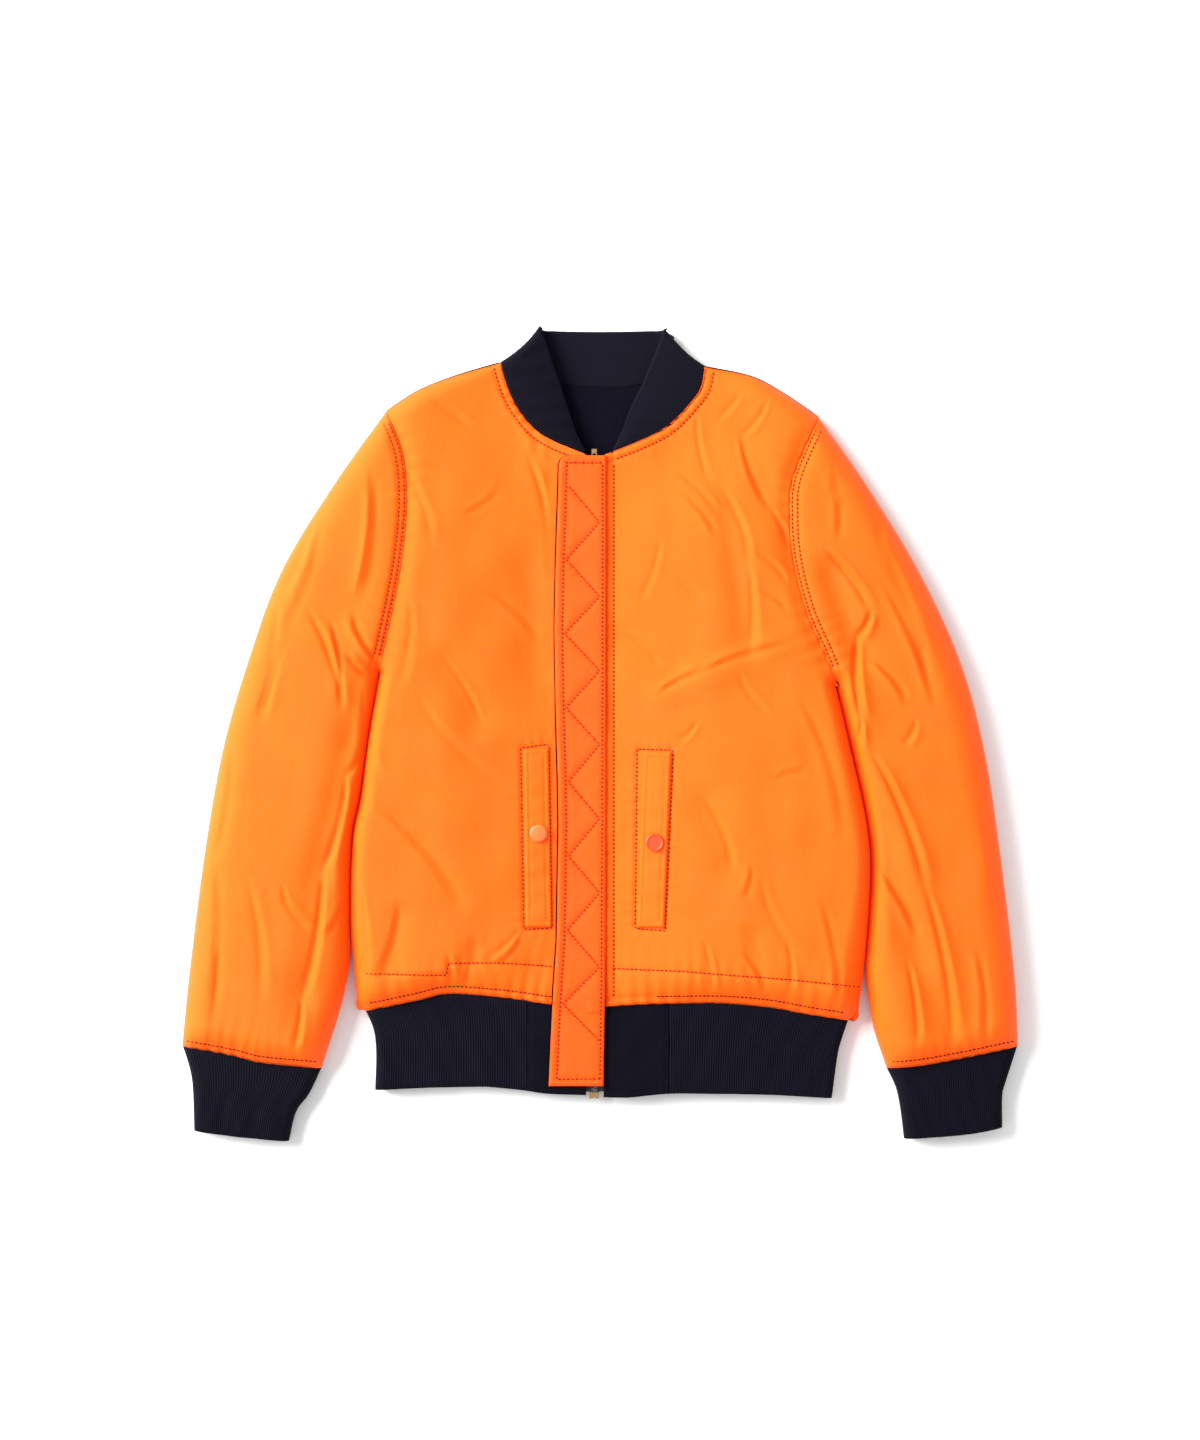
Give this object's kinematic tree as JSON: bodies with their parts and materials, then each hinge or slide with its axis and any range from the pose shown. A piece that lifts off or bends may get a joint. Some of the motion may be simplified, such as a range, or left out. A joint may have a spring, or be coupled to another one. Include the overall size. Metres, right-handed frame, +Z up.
{
  "type": "bomber jacket",
  "caption": "Padded bomber jacket laid flat and zipped, with ribbed collar, waistband and cuffs, a quilted zip flap and two welt pockets.",
  "frame": {"origin": "on the surface that the jacket lies on, under the middle of its bounding box", "axes": "+Z up from the surface, +Y from the waistband to the collar, +X towards the wearer's left"},
  "size_m": [0.7198, 0.7023, 0.0348],
  "materials": {
    "padded_cloth": "satin",
    "rib_knit": "matte",
    "navy_cloth": "satin",
    "zip_tape": "matte",
    "zip_metal": "satin",
    "snap": "gloss"
  },
  "bodies": {
    "root": {"back": "padded_cloth", "front_right": "padded_cloth", "front_left": "padded_cloth", "sleeve_right": "padded_cloth", "sleeve_left": "padded_cloth", "zip_flap": "padded_cloth", "pocket_welt_right": "padded_cloth", "pocket_welt_left": "padded_cloth", "collar": "rib_knit", "waist_rib": "rib_knit", "cuff_right": "rib_knit", "cuff_left": "rib_knit", "waist_tab_right": "navy_cloth", "waist_tab_left": "navy_cloth", "zip_tape_right": "zip_tape", "zip_tape_left": "zip_tape", "zip_slider": "zip_metal", "zip_pull": "zip_metal", "zip_box": "zip_metal", "pocket_snap_right": "snap", "pocket_snap_left": "snap"}
  },
  "joints": []
}
